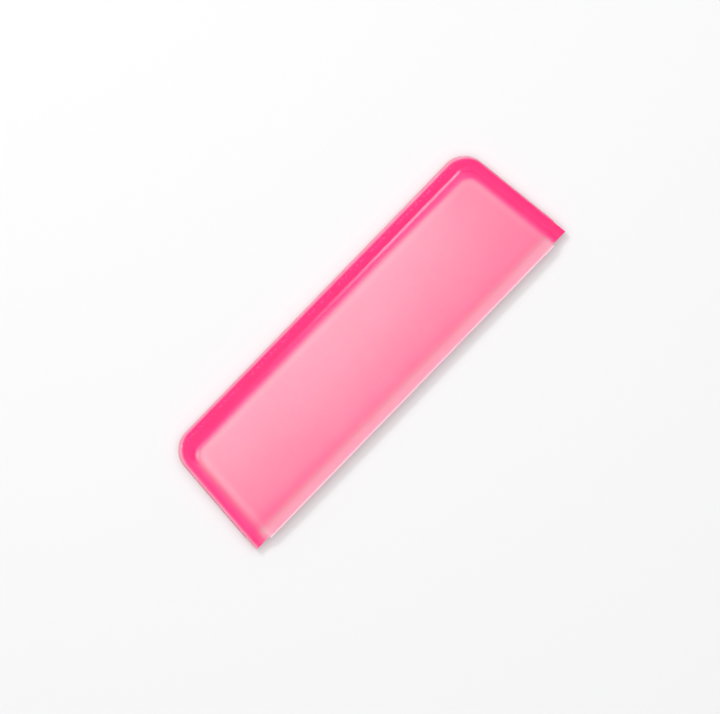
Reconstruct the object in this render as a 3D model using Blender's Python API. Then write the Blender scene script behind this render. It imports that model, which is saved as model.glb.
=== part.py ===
"""Reusable lay-flat silicone bag with a press-zip mouth, modelled at real size in metres.

+X runs along the mouth, -Y is the mouth side, +Y is the closed side, and +Z is up through the thickness.
The bag lies on its back wall, so the origin is the centre of the footprint on the table.
The front wall is a flat sheet that hinges along the closed side, inside the seam border's raised shoulder.
"""

import math

import bmesh
import bpy

MM = 0.001

# Plan size
MOUTH_WIDTH = 190 * MM
OVERALL_DEPTH = 58 * MM
SIDE_TAPER = 0.0925
CORNER_RADIUS = 11 * MM
MOUTH_Y = -OVERALL_DEPTH / 2
CLOSED_Y = OVERALL_DEPTH / 2
LEAN = math.atan(SIDE_TAPER)

# Thickness
BAG_HEIGHT = 8 * MM
WALL = 1.5 * MM
LIP_WALL = 1.2 * MM
GAP = 0.3 * MM

# Seam border: a solid bar round three sides, with a thin flash line at its foot and a raised inner shoulder
BAND_HEIGHT = 5.6 * MM
BAND_EDGE_RADIUS = 1.2 * MM
FLASH_WIDTH = 0.7 * MM
FLASH_HEIGHT = 1.0 * MM
FLASH_STOP_Y = MOUTH_Y + 7.4 * MM
FOOT_SIDE_INSET = 6.2 * MM
FOOT_CLOSED_INSET = 7.6 * MM
FOOT_RADIUS = 4.8 * MM
SEAM_SIDE_WIDTH = 8.6 * MM
SEAM_CLOSED_WIDTH = 10.4 * MM
SEAM_INNER_RADIUS = 3.6 * MM
SEAM_MOUTH_Y = MOUTH_Y + 1.1 * MM
SEAM_CUT_Y = 10 * MM

# Walls and lips: the front lip ends level with the side bars, and the back lip reaches a little further
SHEET_EDGE = 0.45 * MM
LIP_Y = MOUTH_Y + 5.2 * MM
FRONT_LIP_EDGE_Y = SEAM_MOUTH_Y
HINGE_Y = CLOSED_Y - SEAM_CLOSED_WIDTH - GAP
HINGE_Z = BAG_HEIGHT - WALL / 2

# Press zip: two ribs under the front wall drop into the two grooves between three ridges on the back wall
ZIP_Y = MOUTH_Y + 9.2 * MM
ZIP_PITCH = 3.6 * MM
ZIP_END_INSET = 11.8 * MM
RIB_STEM = 0.9 * MM
RIB_HEAD_RADIUS = 0.8 * MM
RIB_FOOT_Z = 2.4 * MM
RIDGE_WIDTH = 1.2 * MM
RIDGE_TOP_Z = 5.0 * MM
WELD_LENGTH = 2.6 * MM

ARC_STEPS = 10
SHOULDER_STEPS = 6
ROUND_STEPS = 5
EDGE_STEPS = 3

RIM_PINK = (1.0, 0.048, 0.22)
PANEL_PINK = (1.0, 0.30, 0.43)
ZIP_PINK = (1.0, 0.16, 0.33)


def clear_scene():
    for thing in list(bpy.data.objects):
        bpy.data.objects.remove(thing, do_unlink=True)


def silicone(name, colour, roughness):
    material = bpy.data.materials.new(name)
    material.use_nodes = True
    shader = material.node_tree.nodes["Principled BSDF"]
    shader.inputs["Base Color"].default_value = (*colour, 1.0)
    shader.inputs["Roughness"].default_value = roughness
    shader.inputs["Metallic"].default_value = 0.0
    material.diffuse_color = (*colour, 1.0)
    return material


def add_object(name, points, faces, colour, roughness, place=(0.0, 0.0, 0.0)):
    """A closed body from world points, with its origin moved to place."""
    mesh = bpy.data.meshes.new(name)
    shell = bmesh.new()
    corners = [shell.verts.new([c - o for c, o in zip(point, place)]) for point in points]
    for face in faces:
        shell.faces.new([corners[i] for i in face])
    bmesh.ops.recalc_face_normals(shell, faces=shell.faces)
    shell.to_mesh(mesh)
    shell.free()
    mesh.shade_smooth()
    mesh.set_sharp_from_angle(angle=math.radians(35))
    thing = bpy.data.objects.new(name, mesh)
    thing.location = place
    mesh.materials.append(silicone(name, colour, roughness))
    bpy.context.collection.objects.link(thing)
    return thing


def side_x(inset, y):
    """Half width at y of the flash line at the side's foot, moved in by inset square to that line."""
    return MOUTH_WIDTH / 2 + FLASH_WIDTH - SIDE_TAPER * (y - MOUTH_Y) - inset / math.cos(LEAN)


def outline(side_inset, closed_inset, radius, y_start):
    """Right side, round the closed side's two corners, and down the left side to y_start again."""
    centre_y = CLOSED_Y - closed_inset - radius
    centre_x = side_x(side_inset, centre_y) - radius / math.cos(LEAN)
    right = [(side_x(side_inset, y_start), y_start)]
    for step in range(ARC_STEPS + 1):
        angle = LEAN + (math.pi / 2 - LEAN) * step / ARC_STEPS
        right.append((centre_x + radius * math.cos(angle), centre_y + radius * math.sin(angle)))
    return right + [(-x, y) for x, y in reversed(right)]


def even_outline(inset, y_start):
    """The outer edge moved in by the same amount all round."""
    return outline(inset, inset, CORNER_RADIUS - inset, y_start)


def band_section(flash):
    """Insets and heights round the outer part of the seam bar's section, from foot to flat band."""
    section = [(FLASH_WIDTH - flash, 0.0), (FLASH_WIDTH - flash, FLASH_HEIGHT)]
    section.append((FLASH_WIDTH, FLASH_HEIGHT + 0.5 * flash))
    for step in range(ROUND_STEPS + 1):
        angle = math.pi / 2 * step / ROUND_STEPS
        inset = FLASH_WIDTH + BAND_EDGE_RADIUS * (1 - math.cos(angle))
        section.append((inset, BAND_HEIGHT - BAND_EDGE_RADIUS * (1 - math.sin(angle))))
    return section


def shoulder_section():
    """Shares of the way from the shoulder's foot to the seam bar's inner face, with their heights."""
    rise = BAG_HEIGHT - BAND_HEIGHT
    section = []
    for step in range(SHOULDER_STEPS + 1):
        angle = math.pi / 2 * step / SHOULDER_STEPS
        section.append((1 - math.cos(angle), BAND_HEIGHT + rise * math.sin(angle)))
    return section + [(1.0, 0.0)]


def between(low, high, share):
    return low + (high - low) * share


def ring_faces(sections, size):
    """Quads that join each section to the next, and a cap on the first and on the last."""
    faces = []
    for k in range(sections - 1):
        for i in range(size):
            j = (i + 1) % size
            faces.append((k * size + i, k * size + j, (k + 1) * size + j, (k + 1) * size + i))
    faces.append(tuple(range(size)))
    faces.append(tuple(range((sections - 1) * size, sections * size)))
    return faces


def make_bottom_seam():
    """The closed side's bar with both rounded corners."""
    start = SEAM_CUT_Y + GAP / 2
    rails = [(even_outline(inset, start), z) for inset, z in band_section(FLASH_WIDTH)]
    for share, z in shoulder_section():
        side_inset = between(FOOT_SIDE_INSET, SEAM_SIDE_WIDTH, share)
        closed_inset = between(FOOT_CLOSED_INSET, SEAM_CLOSED_WIDTH, share)
        radius = between(FOOT_RADIUS, SEAM_INNER_RADIUS, share)
        rails.append((outline(side_inset, closed_inset, radius, start), z))
    points = []
    for k in range(len(rails[0][0])):
        points += [(*rail[k], z) for rail, z in rails]
    sections = len(points) // len(rails)
    add_object("bottom_seam", points, ring_faces(sections, len(rails)), RIM_PINK, 0.25)


def make_side_seam(name, side):
    """One straight side bar, whose flash line stops short of the mouth."""
    ramp = FLASH_WIDTH
    stations = (
        (SEAM_MOUTH_Y, 0.0),
        (FLASH_STOP_Y, 0.0),
        (FLASH_STOP_Y + ramp, FLASH_WIDTH),
        (SEAM_CUT_Y - GAP / 2, FLASH_WIDTH),
    )
    shoulder = [(between(FOOT_SIDE_INSET, SEAM_SIDE_WIDTH, share), z) for share, z in shoulder_section()]
    points = []
    for y, flash in stations:
        section = band_section(flash) + shoulder
        points += [(side * side_x(inset, y), y, z) for inset, z in section]
    size = len(points) // len(stations)
    add_object(name, points, ring_faces(len(stations), size), RIM_PINK, 0.25)


def make_plate(name, edge, bottom, top, colour, roughness, place=(0.0, 0.0, 0.0)):
    """A flat plate: the outline swept from bottom to top."""
    points = [(x, y, bottom) for x, y in edge] + [(x, y, top) for x, y in edge]
    add_object(name, points, ring_faces(2, len(edge)), colour, roughness, place)


def make_wall(name, bottom, place):
    """The front or the back wall: a flat sheet with half-round edges beside the seam bar."""
    start = LIP_Y + GAP / 2
    levels = []
    for step in range(2 * EDGE_STEPS + 1):
        angle = math.pi * step / (2 * EDGE_STEPS)
        levels.append((SHEET_EDGE * (1 - math.sin(angle)), bottom + WALL * (1 - math.cos(angle)) / 2))
    points = []
    for more, z in levels:
        clear = GAP + more
        edge = outline(SEAM_SIDE_WIDTH + clear, SEAM_CLOSED_WIDTH + clear, SEAM_INNER_RADIUS - clear, start)
        points += [(x, y, z) for x, y in edge]
    size = len(points) // len(levels)
    add_object(name, points, ring_faces(len(levels), size), PANEL_PINK, 0.5, place)


def make_lip(name, y_edge, bottom, place):
    """A finger tab beyond the zip: a thinner strip across the bag, whose ends follow the sides' lean."""
    inset = SEAM_SIDE_WIDTH + GAP
    low, high = side_x(inset, y_edge), side_x(inset, LIP_Y - GAP / 2)
    edge = [(low, y_edge), (high, LIP_Y - GAP / 2), (-high, LIP_Y - GAP / 2), (-low, y_edge)]
    make_plate(name, edge, bottom, bottom + LIP_WALL, PANEL_PINK, 0.45, place)


def bar_across(name, section, centre_y, place=(0.0, 0.0, 0.0)):
    """A straight bar along X with the given section of (y, z) points, whose ends follow the sides' lean."""
    end = side_x(ZIP_END_INSET, centre_y)
    points = [(x, centre_y + y, z) for x in (-end, end) for y, z in section]
    add_object(name, points, ring_faces(2, len(section)), ZIP_PINK, 0.35, place)


def make_zip_rib(name, offset, place):
    """Male rib: a stem under the front wall that ends in a round head."""
    half = RIB_STEM / 2
    head_z = RIB_FOOT_Z + RIB_HEAD_RADIUS
    neck = math.asin(half / RIB_HEAD_RADIUS)
    section = [(half, BAG_HEIGHT - WALL - GAP)]
    steps = 3 * ROUND_STEPS
    for step in range(steps + 1):
        angle = math.pi / 2 - neck - (2 * math.pi - 2 * neck) * step / steps
        section.append((RIB_HEAD_RADIUS * math.cos(angle), head_z + RIB_HEAD_RADIUS * math.sin(angle)))
    section.append((-half, BAG_HEIGHT - WALL - GAP))
    bar_across(name, section, ZIP_Y + offset, place)


def make_zip_ridge(name, offset):
    """Female ridge: an upright on the back wall with a round top."""
    half = RIDGE_WIDTH / 2
    section = [(half, WALL + GAP)]
    for step in range(2 * ROUND_STEPS + 1):
        angle = math.pi * step / (2 * ROUND_STEPS)
        section.append((half * math.cos(angle), RIDGE_TOP_Z - half + half * math.sin(angle)))
    section.append((-half, WALL + GAP))
    bar_across(name, section, ZIP_Y + offset)


def make_end_weld(name, side):
    """The block where the zip's ends are welded shut, beside the side seam."""
    reach = ZIP_PITCH + RIDGE_WIDTH / 2
    outer = SEAM_SIDE_WIDTH + GAP
    inner = outer + WELD_LENGTH
    edge = []
    for inset, y in ((inner, -reach), (inner, reach), (outer, reach), (outer, -reach)):
        edge.append((side * side_x(inset, ZIP_Y + y), ZIP_Y + y))
    make_plate(name, edge, WALL + GAP, BAG_HEIGHT - WALL - GAP, ZIP_PINK, 0.35)


def main():
    clear_scene()
    table = (0.0, 0.0, 0.0)
    hinge = (0.0, HINGE_Y, HINGE_Z)
    make_bottom_seam()
    make_side_seam("left_side_seam", -1)
    make_side_seam("right_side_seam", 1)
    make_wall("back_panel", 0.0, table)
    make_lip("back_lip", MOUTH_Y, 0.0, table)
    make_wall("front_panel", BAG_HEIGHT - WALL, hinge)
    make_lip("front_lip", FRONT_LIP_EDGE_Y, BAG_HEIGHT - WALL, hinge)
    make_zip_rib("zip_rib_outer", -ZIP_PITCH / 2, hinge)
    make_zip_rib("zip_rib_inner", ZIP_PITCH / 2, hinge)
    make_zip_ridge("zip_ridge_outer", -ZIP_PITCH)
    make_zip_ridge("zip_ridge_middle", 0.0)
    make_zip_ridge("zip_ridge_inner", ZIP_PITCH)
    make_end_weld("zip_end_weld_left", -1)
    make_end_weld("zip_end_weld_right", 1)


main()
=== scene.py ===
import math

import bpy
from mathutils import Matrix, Vector


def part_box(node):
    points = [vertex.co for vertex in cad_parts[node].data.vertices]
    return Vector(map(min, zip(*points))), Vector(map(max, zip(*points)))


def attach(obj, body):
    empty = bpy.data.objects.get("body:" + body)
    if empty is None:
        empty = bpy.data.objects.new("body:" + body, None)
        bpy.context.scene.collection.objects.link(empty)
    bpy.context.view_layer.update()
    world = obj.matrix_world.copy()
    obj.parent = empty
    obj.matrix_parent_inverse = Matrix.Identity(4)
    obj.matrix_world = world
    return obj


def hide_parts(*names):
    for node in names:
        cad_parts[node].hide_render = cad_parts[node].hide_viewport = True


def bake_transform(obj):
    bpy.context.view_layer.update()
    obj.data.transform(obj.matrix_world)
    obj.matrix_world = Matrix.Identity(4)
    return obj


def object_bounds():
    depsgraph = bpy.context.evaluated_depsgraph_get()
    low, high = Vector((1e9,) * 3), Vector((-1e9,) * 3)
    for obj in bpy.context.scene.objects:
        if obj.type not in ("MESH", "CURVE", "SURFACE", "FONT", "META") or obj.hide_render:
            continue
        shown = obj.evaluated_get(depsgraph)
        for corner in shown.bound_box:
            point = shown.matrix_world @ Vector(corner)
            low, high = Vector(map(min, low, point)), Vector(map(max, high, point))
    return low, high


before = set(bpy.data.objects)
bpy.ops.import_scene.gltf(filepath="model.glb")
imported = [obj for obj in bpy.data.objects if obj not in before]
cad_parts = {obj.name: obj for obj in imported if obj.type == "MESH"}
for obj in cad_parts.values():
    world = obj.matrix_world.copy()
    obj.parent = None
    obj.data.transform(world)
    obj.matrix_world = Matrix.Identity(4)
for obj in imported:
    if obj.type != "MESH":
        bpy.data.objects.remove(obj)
cad_low, cad_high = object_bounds()

MM = 0.001

# Plan of the bag, as the CAD has it; an inset is measured inwards from the outer edge
MOUTH_Y = cad_low.y
CLOSED_Y = cad_high.y
TOP_Z = cad_high.z
SIDE_TAPER = 0.0925
LEAN = math.atan(SIDE_TAPER)
# Half width at the mouth, as if the flash line ran on to it
OUTER_HALF = 95.7 * MM
CORNER_RADIUS = 11 * MM
FLASH_WIDTH = 0.7 * MM
FLASH_HEIGHT = 1.0 * MM
FLASH_STOP_Y = MOUTH_Y + 7.4 * MM
BAND_TOP = 5.6 * MM
BAND_EDGE_RADIUS = 1.2 * MM
RIM_MOUTH_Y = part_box("left_side_seam")[0].y
WALL = 1.5 * MM
LIP_WALL = 1.2 * MM
LIP_Y = MOUTH_Y + 5.2 * MM
FRONT_LIP_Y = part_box("front_lip")[0].y
ZIP_Y = MOUTH_Y + 9.2 * MM
ZIP_PITCH = 3.6 * MM
ZIP_END_INSET = 11.8 * MM
WELD_WIDTH = 2.9 * MM
RIB_STEM = 0.9 * MM
RIB_HEAD_RADIUS = 0.8 * MM
RIB_FOOT_Z = 2.4 * MM
RIDGE_WIDTH = 1.2 * MM
RIDGE_TOP_Z = 5.0 * MM
# The shoulder's top, where the walls begin: side inset, closed side's inset, corner radius
INNER = (8.6 * MM, 10.4 * MM, 3.6 * MM)

# Finer shape than the CAD's. On the two sides the border's shoulder rises from its flat band at SIDE_FOOT. On
# the closed side it is a dome, in steps of a quarter circle, that would meet the band at CLOSED_FOOT
SIDE_FOOT = 4.6 * MM
CLOSED_FOOT = 7.6 * MM
FOOT_RADIUS = 4.8 * MM
DOME_STEPS = 16
DOME_FIRST_STEP = 6
# A ramp leads up to that dome, in listed points: (inset from CLOSED_FOOT, rise above the band)
CLOSED_RAMP = (
    (-2.0 * MM, 0.0),
    (-1.8 * MM, 0.015 * MM),
    (-1.6 * MM, 0.06 * MM),
    (-1.4 * MM, 0.125 * MM),
    (-1.1 * MM, 0.235 * MM),
    (-0.8 * MM, 0.345 * MM),
    (-0.5 * MM, 0.455 * MM),
    (-0.3 * MM, 0.54 * MM),
    (-0.1 * MM, 0.67 * MM),
    (0.08 * MM, 0.85 * MM),
    (0.24 * MM, 1.07 * MM),
)
RIM_END_RADIUS = 0.25 * MM
# The border is frosted from this side inset inwards, and its foot stays flat up to this height at the mouth
FROST_START = 6.2 * MM
STILL_HEIGHT = 1.2 * MM
# How much lower the front wall lies at the mouth, and the steps down to its lip and to the lip's bead
LIP_DROP = 2.0 * MM
LIP_STEP = 0.3 * MM
BEAD_STEP = 0.4 * MM
BEAD_WALL = 0.7 * MM
CROWN = 0.35 * MM
CROWN_REACH = 16 * MM
RIDGE_FILLET = 0.4 * MM
WELD_EDGE_RADIUS = 0.5 * MM
BACK_EDGE_RADIUS = 0.3 * MM
# How far a piece runs into the one that it is moulded to
SINK = 0.1 * MM
# Two lengths that differ by less than this are the same
NEAR = 0.01 * MM

# Optical depth of the pink silicone: 0 is a film, 1 is the solid border. The same values also carry painted
# light and shade, as marked below
BACK_LIP, FILM, PAINTED_GLINT, PANEL, SHEET, FLASH = 0.16, 0.165, 0.2, 0.26, 0.3, 0.34
ZIP, WELD, OUTER_WALL, DEEP = 0.55, 0.7, 0.86, 1.0
ZIP_FROST = 0.3
DEPTH_AND_LIGHT_NAME = "pink_depth_and_painted_light"
FROST_NAME = "frost"
PINKS = (
    (0.0, (1.0, 0.88, 0.93)),
    (0.28, (1.0, 0.44, 0.56)),
    (0.545, (1.0, 0.185, 0.355)),
    (0.78, (1.0, 0.067, 0.265)),
    (1.0, (1.0, 0.0155, 0.17)),
)
# Where the border's colour ends on the left, right and closed sides, and how wide it fades there. The left
# side's earlier and wider fade is painted light on its shoulder, where the right side's stays deep
LEFT_END, LEFT_FADE = 8.4 * MM, 5.8 * MM
RIGHT_END, RIGHT_FADE = 9.1 * MM, 3.1 * MM
CLOSED_END, CLOSED_FADE_LEFT, CLOSED_FADE_RIGHT = 10.9 * MM, 3.4 * MM, 2.1 * MM
END_RADIUS = 4.4 * MM


# ---------------------------------------------------------------- plan

def smooth(t):
    """An S-curve from 0 to 1 as t goes from 0 to 1, level at both ends."""
    t = max(0.0, min(1.0, t))
    return t * t * (3 - 2 * t)


def smooth_share(level):
    """The t at which smooth(t) reaches a level."""
    return 0.5 - math.sin(math.asin(max(-1.0, min(1.0, 1 - 2 * level))) / 3)


def mix(a, b, t):
    return a + (b - a) * t


def bump_at(value, centre, width):
    """A soft bump: 1 where value is centre, and nearly 0 two widths away."""
    return math.exp(-((value - centre) / width) ** 2)


def side_x(inset, y):
    """Half the bag's width at y, less an inset from its slanting side."""
    return OUTER_HALF - SIDE_TAPER * (y - MOUTH_Y) - inset / math.cos(LEAN)


def inset_from(side, closed, radius, x, y):
    """Distance of a point inside an outline, and how far that nearest edge faces sideways (0 to 1)."""
    a = (side_x(side, y) - abs(x)) * math.cos(LEAN)
    b = CLOSED_Y - closed - y
    if a < radius and b < radius:
        reach = math.hypot(radius - a, radius - b)
        return radius - reach, ((radius - a) / reach) ** 2
    return (a, 1.0) if a < b else (b, 0.0)


def mouth_drop(y):
    """How much lower the front wall lies near the mouth, where the lips come towards each other."""
    return LIP_DROP * smooth((MOUTH_Y + 8.6 * MM - y) / (7.2 * MM))


def lip_step(y):
    """How far the thinner lip, and the bead along its edge, lie below the face of the wall."""
    lip = LIP_STEP * smooth((LIP_Y + 1.2 * MM - y) / (1.8 * MM))
    bead = BEAD_STEP * smooth((FRONT_LIP_Y + 0.2 * MM - y) / (0.4 * MM))
    return lip + bead


def sheet_depth_and_shade(x, y):
    """The walls over the pocket: deeper over the zip, paler towards the closed side and at the lip. The zip
    band's fading towards the right end and the thin dark line where the bead steps down are painted shade.
    """
    from_mouth = y - MOUTH_Y
    across = from_mouth / (CLOSED_Y - MOUTH_Y)
    along = x / OUTER_HALF
    towards_mouth = 0.255 * max(0.0, 1 - across) ** 1.5
    towards_ends = 0.035 * along ** 2 + 0.2 * across * max(0.0, along) ** 3
    over_zip = (0.03 - 0.035 * along) * bump_at(from_mouth, 7.8 * MM, 3.0 * MM)
    depth = PANEL + towards_mouth + towards_ends + over_zip
    lip = 1 - smooth((from_mouth - 3.9 * MM) / (4.2 * MM))
    # Painted shade: a thin darker line where the bead steps down from the lip
    painted_bead_shade = 0.11 * bump_at(from_mouth, 1.85 * MM, 0.35 * MM)
    bead = 1 - smooth((y - FRONT_LIP_Y + 0.1 * MM) / (0.3 * MM))
    return mix(mix(depth, SHEET, lip) + painted_bead_shade, FILM, bead)


def shoulder_painted_light(from_edge, sideways, x):
    """Painted light: how much paler the border's shoulder is than its band, on the closed side and on the two
    sides. It lightens the steep slope where it would lie in shade, and along the closed side it grows towards
    the right end like the highlight there.
    """
    closed = mix(0.05, 0.24, smooth(0.8 + x / (100 * MM))) * smooth((from_edge - 6.6 * MM) / MM)
    side = 0.06
    if x > 0:
        side = 0.06 * smooth((from_edge - 3.8 * MM) / MM) + 0.06 * bump_at(from_edge, 6.1 * MM, 0.6 * MM)
    return mix(closed, side, sideways)


def depth_with_painted_light(x, y):
    """Depth of colour seen from above: solid border, then a fade over its shoulder, then the walls. The
    shoulder's paler strips, the pale strip along the walls' edge and the left corner's crescent are painted
    light.
    """
    side_end, side_fade = (RIGHT_END, RIGHT_FADE) if x > 0 else (LEFT_END, LEFT_FADE)
    closed_fade = mix(CLOSED_FADE_LEFT, CLOSED_FADE_RIGHT, smooth((x - 30 * MM) / (50 * MM)))
    inset, sideways = inset_from(side_end, CLOSED_END, END_RADIUS, x, y)
    border = smooth(-inset / mix(closed_fade, side_fade, sideways))
    # Painted highlight: a pale strip along the walls' edge, paler on the left side
    painted_rim_highlight = mix(0.03, 0.03 if x > 0 else 0.065, sideways) * bump_at(inset, 0.9 * MM, 1.3 * MM)
    from_edge, _ = inset_from(0.0, 0.0, CORNER_RADIUS, x, y)
    solid = DEEP - shoulder_painted_light(from_edge, sideways, x)
    depth = mix(sheet_depth_and_shade(x, y) - painted_rim_highlight, solid, border)
    if x >= 0:
        return depth
    # A painted highlight: the pale crescent in the left inner corner, where the shoulder's glint is painted
    # into the colour
    crescent = bump_at(inset, -2.4 * MM, 0.7 * MM) * bump_at(sideways, 0.5, 0.33)
    return mix(depth, PAINTED_GLINT, 0.9 * crescent)


def edge_depth(x, y):
    """Depth of colour over the border's outer edge, where the bar thins down to its flash line."""
    inset, sideways = inset_from(0.0, 0.0, CORNER_RADIUS, x, y)
    side_film = 0.1 * MM if x > 0 else 1.2 * MM
    film = mix(mix(0.6 * MM, 0.8 * MM, smooth(0.5 + x / (150 * MM))), side_film, sideways)
    return mix(FLASH, DEEP, smooth((inset - film) / (1.3 * MM)))


# ---------------------------------------------------------------- materials

def add_painted_glints(nodes, links, place, depth):
    """Pale specks painted in a narrow row along the closed side's band, as glints on its moulded edge;
    returns the depth with them.
    """
    across = nodes.new("ShaderNodeSeparateXYZ")
    links.new(place.outputs["Object"], across.inputs["Vector"])
    row = nodes.new("ShaderNodeValToRGB")
    stops = row.color_ramp.elements
    stops.new(0.5)
    for stop, (position, level) in zip(stops, ((0.0, 0.0), (0.5, 1.0), (1.0, 0.0))):
        stop.position = position
        stop.color = (level, level, level, 1)
    span = nodes.new("ShaderNodeMapRange")
    span.inputs["From Min"].default_value = CLOSED_Y - 4.0 * MM
    span.inputs["From Max"].default_value = CLOSED_Y - 1.8 * MM
    links.new(across.outputs["Y"], span.inputs["Value"])
    links.new(span.outputs["Result"], row.inputs["Fac"])
    dots = nodes.new("ShaderNodeTexNoise")
    dots.inputs["Scale"].default_value = 1 / (1.1 * MM)
    dots.inputs["Detail"].default_value = 0.0
    links.new(place.outputs["Object"], dots.inputs["Vector"])
    sharp = nodes.new("ShaderNodeMapRange")
    sharp.inputs["From Min"].default_value = 0.5
    sharp.inputs["From Max"].default_value = 0.68
    sharp.inputs["To Max"].default_value = -0.2
    links.new(dots.outputs["Fac"], sharp.inputs["Value"])
    total = nodes.new("ShaderNodeMath")
    total.operation = "MULTIPLY_ADD"
    links.new(row.outputs["Color"], total.inputs[0])
    links.new(sharp.outputs["Result"], total.inputs[1])
    links.new(depth.outputs["Value"], total.inputs[2])
    return total.outputs["Value"]


def make_silicone(name, gloss, frosted, transmission, grain_size, grain_depth):
    """Pink translucent silicone: colour from its depth attribute, which also carries painted light and shade,
    roughness from gloss to frosted, fine grain.
    """
    material = bpy.data.materials.new(name)
    material.use_nodes = True
    nodes, links = material.node_tree.nodes, material.node_tree.links
    shader = nodes["Principled BSDF"]
    shader.inputs["IOR"].default_value = 1.41
    shader.inputs["Specular IOR Level"].default_value = 0.25
    shader.inputs["Transmission Weight"].default_value = transmission
    shader.inputs["Subsurface Weight"].default_value = 0.5
    shader.inputs["Subsurface Radius"].default_value = (1.0, 0.2, 0.35)
    shader.inputs["Subsurface Scale"].default_value = 2.5 * MM

    cloud_colour, cloud_roughness = 0.05, 0.08
    depth = nodes.new("ShaderNodeAttribute")
    depth.attribute_name = DEPTH_AND_LIGHT_NAME
    cloud = nodes.new("ShaderNodeTexNoise")
    cloud.inputs["Scale"].default_value = 45.0
    cloud.inputs["Detail"].default_value = 3.0
    place = nodes.new("ShaderNodeTexCoord")
    links.new(place.outputs["Object"], cloud.inputs["Vector"])
    vary = nodes.new("ShaderNodeMath")
    vary.operation = "MULTIPLY_ADD"
    vary.inputs[1].default_value = cloud_colour
    vary.inputs[2].default_value = -cloud_colour / 2
    links.new(cloud.outputs["Fac"], vary.inputs[0])
    total = nodes.new("ShaderNodeMath")
    total.operation = "ADD"
    links.new(depth.outputs["Fac"], total.inputs[0])
    links.new(vary.outputs["Value"], total.inputs[1])
    ramp = nodes.new("ShaderNodeValToRGB")
    stops = ramp.color_ramp.elements
    while len(stops) < len(PINKS):
        stops.new(0.5)
    for stop, (position, colour) in zip(stops, PINKS):
        stop.position = position
        stop.color = (*colour, 1)
    links.new(add_painted_glints(nodes, links, place, total), ramp.inputs["Fac"])
    links.new(ramp.outputs["Color"], shader.inputs["Base Color"])

    # The thin walls let more light through than the solid border does
    through = nodes.new("ShaderNodeBsdfTranslucent")
    links.new(ramp.outputs["Color"], through.inputs["Color"])
    share = nodes.new("ShaderNodeMapRange")
    share.inputs["From Min"].default_value = 0.4
    share.inputs["From Max"].default_value = 0.9
    share.inputs["To Min"].default_value = 0.3
    share.inputs["To Max"].default_value = 0.1
    links.new(depth.outputs["Fac"], share.inputs["Value"])
    both = nodes.new("ShaderNodeMixShader")
    links.new(share.outputs["Result"], both.inputs["Fac"])
    links.new(shader.outputs["BSDF"], both.inputs[1])
    links.new(through.outputs["BSDF"], both.inputs[2])
    links.new(both.outputs["Shader"], nodes["Material Output"].inputs["Surface"])

    grain = nodes.new("ShaderNodeTexNoise")
    grain.inputs["Scale"].default_value = 1 / grain_size
    grain.inputs["Detail"].default_value = 2.0
    links.new(place.outputs["Object"], grain.inputs["Vector"])
    bump = nodes.new("ShaderNodeBump")
    bump.inputs["Strength"].default_value = 1.0
    bump.inputs["Distance"].default_value = grain_depth
    links.new(grain.outputs["Fac"], bump.inputs["Height"])
    links.new(bump.outputs["Normal"], shader.inputs["Normal"])
    frost = nodes.new("ShaderNodeAttribute")
    frost.attribute_name = FROST_NAME
    rough = nodes.new("ShaderNodeMapRange")
    rough.inputs["To Min"].default_value = gloss
    rough.inputs["To Max"].default_value = frosted
    links.new(frost.outputs["Fac"], rough.inputs["Value"])
    uneven = nodes.new("ShaderNodeMath")
    uneven.operation = "MULTIPLY_ADD"
    uneven.inputs[1].default_value = cloud_roughness
    links.new(cloud.outputs["Fac"], uneven.inputs[0])
    links.new(rough.outputs["Result"], uneven.inputs[2])
    links.new(uneven.outputs["Value"], shader.inputs["Roughness"])
    return material


# ---------------------------------------------------------------- shapes

def make_piece(name, points, faces, looks, material, smooth_angle=35):
    """A mesh piece; looks holds a (depth, frost) pair for each point."""
    mesh = bpy.data.meshes.new(name)
    mesh.from_pydata(points, [], faces)
    for index, attribute in enumerate((DEPTH_AND_LIGHT_NAME, FROST_NAME)):
        values = [look[index] for look in looks]
        mesh.attributes.new(attribute, "FLOAT", "POINT").data.foreach_set("value", values)
    mesh.update()
    mesh.shade_smooth()
    mesh.set_sharp_from_angle(angle=math.radians(smooth_angle))
    mesh.materials.append(material)
    piece = bpy.data.objects.new(name, mesh)
    bpy.context.scene.collection.objects.link(piece)
    return piece


def soften(piece, width, on_edge):
    """Rounds the edges for which on_edge(first_point, second_point) is true."""
    mesh = piece.data
    weights = [1.0 if on_edge(*edge.vertices) else 0.0 for edge in mesh.edges]
    mesh.attributes.new("bevel_weight_edge", "FLOAT", "EDGE").data.foreach_set("value", weights)
    bevel = piece.modifiers.new("soft_edges", "BEVEL")
    bevel.width = width
    bevel.segments = 3
    bevel.limit_method = "WEIGHT"


def outline(side_inset, closed_inset, radius, y_start):
    """Right side, round the closed side's two corners, and down the left side to y_start again."""
    mouth_steps, side_steps, corner_steps, closed_steps = 8, 12, 24, 20
    centre_y = CLOSED_Y - closed_inset - radius
    centre_x = side_x(side_inset, centre_y) - radius / math.cos(LEAN)
    arc_y = centre_y + radius * math.sin(LEAN)
    right = []
    for step in range(mouth_steps + 1):
        y = mix(y_start, FLASH_STOP_Y, step / mouth_steps)
        right.append((side_x(side_inset, y), y))
    for step in range(side_steps):
        y = mix(FLASH_STOP_Y + FLASH_WIDTH, arc_y, step / side_steps)
        right.append((side_x(side_inset, y), y))
    for step in range(corner_steps + 1):
        angle = LEAN + (math.pi / 2 - LEAN) * step / corner_steps
        right.append((centre_x + radius * math.cos(angle), centre_y + radius * math.sin(angle)))
    last_x, last_y = right[-1]
    across = [(mix(last_x, 0.0, step / closed_steps), last_y) for step in range(1, closed_steps)]
    half = right + across
    return half + [(0.0, last_y)] + [(-x, y) for x, y in reversed(half)]


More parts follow.
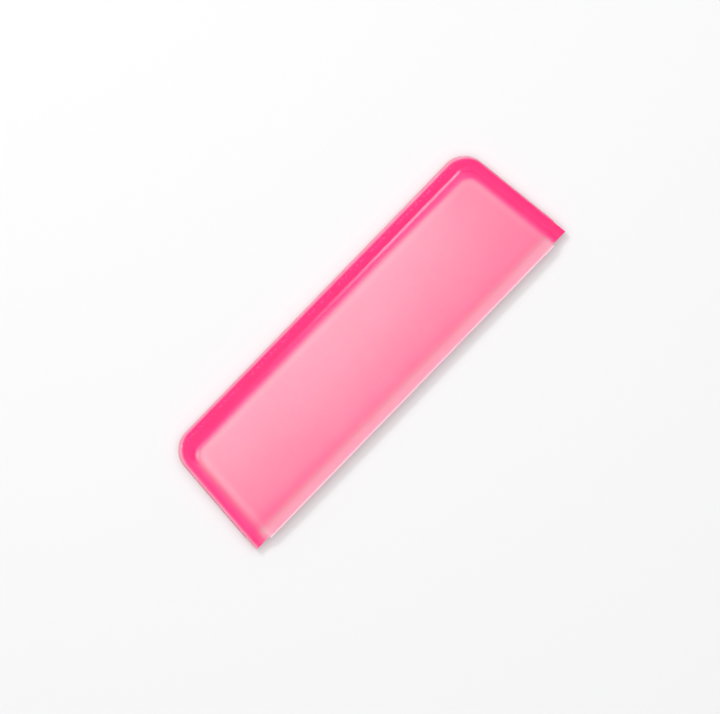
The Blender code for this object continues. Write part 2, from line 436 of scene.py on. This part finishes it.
def ring_faces(sections, size, capped=True):
    """Faces between neighbouring rings of the same size, and across the first and last ring if capped."""
    faces = []
    for k in range(sections - 1):
        for i in range(size):
            j = (i + 1) % size
            faces.append((k * size + i, k * size + j, (k + 1) * size + j, (k + 1) * size + i))
    if capped:
        faces.append(tuple(reversed(range(size))))
        faces.append(tuple(range((sections - 1) * size, sections * size)))
    return faces


def arc(cx, cz, radius, start, end, steps):
    """Points of an arc in (inset, z), angles in degrees."""
    out = []
    for k in range(steps + 1):
        a = math.radians(start + (end - start) * k / steps)
        out.append((cx + radius * math.cos(a), cz + radius * math.sin(a)))
    return out


def shoulder_section():
    """(closed inset, corner radius, rise) over the ramp, where corners tighten inwards, and up the dome."""
    shoulder = []
    for inset, rise in CLOSED_RAMP:
        shoulder.append((CLOSED_FOOT + inset, FOOT_RADIUS - 0.2 * inset, rise))
    _, closed_top, top_radius = INNER
    for step in range(DOME_FIRST_STEP, DOME_STEPS + 1):
        angle = math.pi / 2 * step / DOME_STEPS
        share = 1 - math.cos(angle)
        rise = (TOP_Z - BAND_TOP) * math.sin(angle)
        shoulder.append((mix(CLOSED_FOOT, closed_top, share), mix(FOOT_RADIUS, top_radius, share), rise))
    return shoulder


def rim_section():
    """(side inset, closed inset, corner radius, height) round the border, from outer foot to inner foot."""
    section = []
    flash = (
        (0.12 * MM, 0.0),
        (0.0, 0.12 * MM),
        (0.0, FLASH_HEIGHT - 0.3 * MM),
        (0.25 * MM, FLASH_HEIGHT),
        (FLASH_WIDTH - 0.1 * MM, FLASH_HEIGHT + 0.15 * MM),
        (FLASH_WIDTH, FLASH_HEIGHT + 0.5 * MM),
    )
    r = BAND_EDGE_RADIUS
    for inset, z in (*flash, *arc(FLASH_WIDTH + r, BAND_TOP - r, r, 180, 90, 8)):
        section.append((inset, inset, CORNER_RADIUS - inset, z))
    side_outer, closed_outer, radius_outer, _ = section[-1]
    shoulder = shoulder_section()
    closed_foot, radius_foot, _ = shoulder[0]
    for share in (0.3, 0.6, 0.9):
        closed = mix(closed_outer, closed_foot, share)
        radius = mix(radius_outer, radius_foot, share)
        section.append((mix(side_outer, SIDE_FOOT, share), closed, radius, BAND_TOP))
    for closed, radius, rise in shoulder:
        side = mix(SIDE_FOOT, INNER[0], smooth_share(rise / (TOP_Z - BAND_TOP)))
        section.append((side, closed, radius, BAND_TOP + rise))
    section += [(*INNER, TOP_Z - LIP_WALL), (*INNER, 0.0)]
    return section


def stop_flash(rail):
    """Takes the flash line back to the wall beside the mouth."""
    out = []
    for x, y in rail:
        if y <= FLASH_STOP_Y + NEAR:
            x = math.copysign(side_x(FLASH_WIDTH, y), x)
        out.append((x, y))
    return out


def rim_depth(side, x, y):
    """Depth of colour on the border: deep on its upright outer wall, with a pale flash line and pale edge."""
    if side > SIDE_FOOT - NEAR:
        return depth_with_painted_light(x, y)
    on_band = side > FLASH_WIDTH + NEAR
    on_flash = side < FLASH_WIDTH - NEAR and y > FLASH_STOP_Y + NEAR
    if on_band or on_flash:
        return min(depth_with_painted_light(x, y), edge_depth(x, y))
    return OUTER_WALL


def make_rim(material):
    """The solid border on three sides, in one moulded piece."""
    section = rim_section()
    rails = []
    for side, closed, radius, z in section:
        rail = outline(side, closed, radius, RIM_MOUTH_Y)
        if side < FLASH_WIDTH:
            rail = stop_flash(rail)
        rails.append([(x, y, z) for x, y in rail])
    points, looks = [], []
    for k in range(len(rails[0])):
        for rail, (side, _, _, _) in zip(rails, section):
            x, y, z = rail[k]
            low = lip_step(y) * smooth((z - BAND_TOP) / (TOP_Z - BAND_TOP))
            z -= low + mouth_drop(y) * max(0.0, (z - STILL_HEIGHT) / (TOP_Z - STILL_HEIGHT))
            points.append((x, y, z))
            looks.append((rim_depth(side, x, y), smooth((side - FROST_START) / (0.2 * MM))))
    size = len(rails)
    last = len(points) - size
    rim = make_piece("seam_border", points, ring_faces(len(rails[0]), size), looks, material)
    soften(rim, RIM_END_RADIUS, lambda a, b: (a < size and b < size) or (a >= last and b >= last))
    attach(rim, "root")
    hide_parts("left_side_seam", "right_side_seam", "bottom_seam")


def half_width(y):
    """Half width of the walls at y, corners included."""
    side, closed, r = INNER
    centre_y = CLOSED_Y - closed - r
    centre_x = side_x(side, centre_y) - r / math.cos(LEAN)
    if y <= centre_y + r * math.sin(LEAN):
        return side_x(side, y)
    rise = min(1.0, (y - centre_y) / r)
    return centre_x + r * math.sqrt(max(0.0, 1 - rise * rise))


def eased(count, crowd):
    """0 to 1, with steps that get finer towards 1."""
    return [1 - (1 - k / count) ** crowd for k in range(count + 1)]


def front_height(x, y):
    """Height of the front wall's outer face: a slight crown, and a step down to the thinner lip."""
    crown = CROWN * smooth(inset_from(*INNER, x, y)[0] / CROWN_REACH)
    return TOP_Z + crown - lip_step(y) - mouth_drop(y)


def front_loop(u):
    """Closed section of the front wall at the share u of its half width: top, round lip edge, underside."""
    r = BEAD_WALL / 2
    bead_steps, nose_steps = 8, 8
    y_nose = MOUTH_Y + r
    y_step = FRONT_LIP_Y + 0.3 * MM
    y_rear = CLOSED_Y - INNER[1]
    ys = [mix(y_nose, y_step, step / bead_steps) for step in range(bead_steps)]
    ys += [mix(y_step, y_rear, t) for t in eased(count=70, crowd=1.5)]
    top, under = [], []
    for y in ys:
        x = u * half_width(y)
        wall = mix(LIP_WALL, WALL, smooth((y - LIP_Y) / (3 * MM)))
        wall = mix(BEAD_WALL, wall, smooth((y - FRONT_LIP_Y) / (1.5 * MM)))
        z = front_height(x, y)
        top.append((x, y, z))
        under.append((x, y, z - wall))
    nose_x, _, nose_z = top[0]
    nose = []
    for step in range(1, nose_steps):
        angle = math.pi * step / nose_steps
        nose.append((nose_x, y_nose - r * math.sin(angle), nose_z - r + r * math.cos(angle)))
    return list(reversed(top)) + nose + under


def close_loops(count, size):
    """Faces of a swept closed loop, with quads across its last section that pair points from its two ends."""
    faces = ring_faces(count, size, capped=False)
    last = (count - 1) * size
    for k in range(size // 2 - 1):
        a, b = k, size - 1 - k
        faces.append((last + a, last + a + 1, last + b - 1, last + b))
    return faces


def make_half(name, side, loops, depth_at, frost, material, node_names):
    """One half of a piece that crosses the mouth, from the centre line (first loop) to its end."""
    points, looks = [], []
    for loop in loops:
        for x, y, z in loop:
            points.append((side * x, y, z))
            looks.append((depth_at(side * x, y), frost))
    faces = close_loops(len(loops), len(loops[0]))
    if side < 0:
        faces = [tuple(reversed(face)) for face in faces]
    half = make_piece(name, points, faces, looks, material, smooth_angle=50)
    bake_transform(half)
    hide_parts(*node_names)
    return half


def make_front_wall(material):
    for name, side in (("front_wall_left", -1), ("front_wall_right", 1)):
        loops = [front_loop(u) for u in eased(count=56, crowd=1.4)]
        half = make_half(name, side, loops, depth_with_painted_light, 1.0, material, ("front_panel", "front_lip"))


def rib_loop(u, offset):
    """Section of a zip rib at the share u of its half length: a stem under the front wall, a round head."""
    y = ZIP_Y + offset
    x = u * side_x(ZIP_END_INSET, y)
    half = RIB_STEM / 2
    neck = math.asin(half / RIB_HEAD_RADIUS)
    head_z = RIB_FOOT_Z + RIB_HEAD_RADIUS
    top_z = front_height(x, y) - WALL + SINK
    steps = 23
    loop = [(x, y + half, top_z)]
    for step in range(steps + 1):
        angle = math.pi / 2 - neck - (2 * math.pi - 2 * neck) * step / steps
        loop.append((x, y + RIB_HEAD_RADIUS * math.cos(angle), head_z + RIB_HEAD_RADIUS * math.sin(angle)))
    loop.append((x, y - half, top_z))
    return loop


def make_zip_ribs(material):
    for node, offset in (("zip_rib_outer", -ZIP_PITCH / 2), ("zip_rib_inner", ZIP_PITCH / 2)):
        for word, side in (("left", -1), ("right", 1)):
            loops = [rib_loop(u, offset) for u in eased(count=28, crowd=1.2)]
            half = make_half(f"{node}_{word}", side, loops, lambda x, y: ZIP, ZIP_FROST, material, (node,))


def make_zip_ridges(material):
    """Three uprights on the back wall, with round tops and a small fillet where they rise from the wall."""
    half = RIDGE_WIDTH / 2
    foot = half + RIDGE_FILLET
    steps = 40
    profile = [(foot, WALL - SINK), (foot, WALL)]
    profile += arc(foot, WALL + RIDGE_FILLET, RIDGE_FILLET, 255, 195, 4)
    profile += arc(0.0, RIDGE_TOP_Z - half, half, 0, 90, 6)
    profile += [(-y, z) for y, z in reversed(profile[:-1])]
    for word, offset in (("outer", -ZIP_PITCH), ("middle", 0.0), ("inner", ZIP_PITCH)):
        end = side_x(ZIP_END_INSET, ZIP_Y + offset)
        points = []
        for step in range(steps + 1):
            x = mix(-end, end, step / steps)
            points += [(x, ZIP_Y + offset + y, z) for y, z in profile]
        looks = [(ZIP, ZIP_FROST)] * len(points)
        faces = [tuple(reversed(face)) for face in ring_faces(steps + 1, len(profile))]
        node = f"zip_ridge_{word}"
        ridge = make_piece(f"{node}_bar", points, faces, looks, material, smooth_angle=50)
        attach(ridge, "root")
        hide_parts(node)


def make_end_welds(material):
    """The blocks where the zip's ends are fused between the two walls."""
    for word in ("left", "right"):
        node = f"zip_end_weld_{word}"
        low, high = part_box(node)
        side = math.copysign(1.0, low.x)
        outer = INNER[0]
        inner = outer + WELD_WIDTH
        corners = []
        for inset, y in ((inner, low.y), (inner, high.y), (outer, high.y), (outer, low.y)):
            corners.append((side * side_x(inset, y), y))
        points = [(x, y, WALL - SINK) for x, y in corners]
        points += [(x, y, TOP_Z - WALL + SINK) for x, y in corners]
        faces = ring_faces(2, 4)
        if side < 0:
            faces = [tuple(reversed(face)) for face in faces]
        weld = make_piece(f"{node}_block", points, faces, [(WELD, ZIP_FROST)] * len(points), material)
        soften(weld, WELD_EDGE_RADIUS, lambda a, b: a % 4 == b % 4 and a % 4 < 2)
        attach(weld, "root")
        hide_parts(node)


def make_back_wall(material):
    """The back wall and its lip, flat on the table."""
    edge = outline(*INNER, MOUTH_Y)
    size = len(edge)
    r = BACK_EDGE_RADIUS
    rings = []
    for inset, z in ((0.5 * r, 0.0), (0.0, 0.5 * r), (0.0, WALL - r), (0.3 * r, WALL - 0.3 * r), (r, WALL)):
        rings.append([(x, y + inset if y < MOUTH_Y + MM else y, z) for x, y in edge])
    points = [point for ring in rings for point in ring]
    looks = [(mix(BACK_LIP, SHEET, smooth((y - MOUTH_Y) / (2 * MM))), 1.0) for _, y, _ in points]
    wall = make_piece("back_wall", points, ring_faces(len(rings), size), looks, material)
    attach(wall, "root")
    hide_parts("back_panel", "back_lip")


rim_silicone = make_silicone(
    "rim_silicone", gloss=0.15, frosted=0.5, transmission=0.1, grain_size=0.8 * MM, grain_depth=0.004 * MM
)
panel_silicone = make_silicone(
    "panel_silicone", gloss=0.2, frosted=0.5, transmission=0.15, grain_size=0.35 * MM, grain_depth=0.01 * MM
)
zip_silicone = make_silicone(
    "zip_silicone", gloss=0.25, frosted=0.5, transmission=0.3, grain_size=0.5 * MM, grain_depth=0.006 * MM
)

make_rim(rim_silicone)
make_front_wall(panel_silicone)
make_back_wall(panel_silicone)
make_zip_ribs(zip_silicone)
make_zip_ridges(zip_silicone)
make_end_welds(zip_silicone)

# ---------------------------------------------------------------- studio

# The camera looks straight down at AIM, where the picture is VIEW_WIDTH wide. It is turned so that the bag
# lies along the picture's diagonal
TURN = math.radians(45.86)
AIM = Vector((-4.98 * MM, -2.23 * MM, 4.0 * MM))
VIEW_WIDTH = 308.23 * MM
LENS = 150.0
SENSOR = 36.0
FLOOR_HALF = 3.0
FLOOR_GAP = 0.05 * MM


def make_camera():
    data = bpy.data.cameras.new("camera")
    data.lens = LENS
    data.sensor_width = SENSOR
    camera = bpy.data.objects.new("camera", data)
    bpy.context.scene.collection.objects.link(camera)
    place = AIM + Vector((0.0, 0.0, VIEW_WIDTH * LENS / SENSOR))
    camera.matrix_world = Matrix.Translation(place) @ Matrix.Rotation(-TURN, 4, "Z")
    bpy.context.scene.camera = camera


def make_floor():
    mesh = bpy.data.meshes.new("floor")
    half = FLOOR_HALF
    corners = [(-half, -half, 0), (half, -half, 0), (half, half, 0), (-half, half, 0)]
    mesh.from_pydata(corners, [], [(0, 1, 2, 3)])
    floor = bpy.data.objects.new("floor", mesh)
    floor.location.z = -FLOOR_GAP
    bpy.context.scene.collection.objects.link(floor)
    material = bpy.data.materials.new("floor_white")
    material.use_nodes = True
    shader = material.node_tree.nodes["Principled BSDF"]
    shader.inputs["Base Color"].default_value = (0.613, 0.613, 0.618, 1)
    shader.inputs["Roughness"].default_value = 0.9
    shader.inputs["Specular IOR Level"].default_value = 0.2
    mesh.materials.append(material)


def make_light(name, azimuth, elevation, distance, size, power):
    """A round soft light that faces the bag, azimuth from +X towards +Y, in degrees."""
    flat = math.cos(math.radians(elevation))
    direction = Vector((
        flat * math.cos(math.radians(azimuth)),
        flat * math.sin(math.radians(azimuth)),
        math.sin(math.radians(elevation)),
    ))
    data = bpy.data.lights.new(name, "AREA")
    data.shape = "DISK"
    data.size = size
    data.energy = power
    light = bpy.data.objects.new(name, data)
    light.location = direction * distance
    light.rotation_euler = direction.to_track_quat("Z", "Y").to_euler()
    bpy.context.scene.collection.objects.link(light)


def make_world():
    world = bpy.data.worlds.new("studio")
    bpy.context.scene.world = world
    world.use_nodes = True
    world.node_tree.nodes["Background"].inputs["Color"].default_value = (1, 1, 1, 1)
    world.node_tree.nodes["Background"].inputs["Strength"].default_value = 0.40


make_camera()
make_floor()
make_world()
make_light("softbox", azimuth=68, elevation=78, distance=1.5, size=3.0, power=38.0)
make_light("key", azimuth=80, elevation=50, distance=1.3, size=0.24, power=4.6)
make_light("fill", azimuth=255, elevation=64, distance=1.3, size=1.2, power=2.6)
bpy.context.scene.view_settings.view_transform = "Standard"
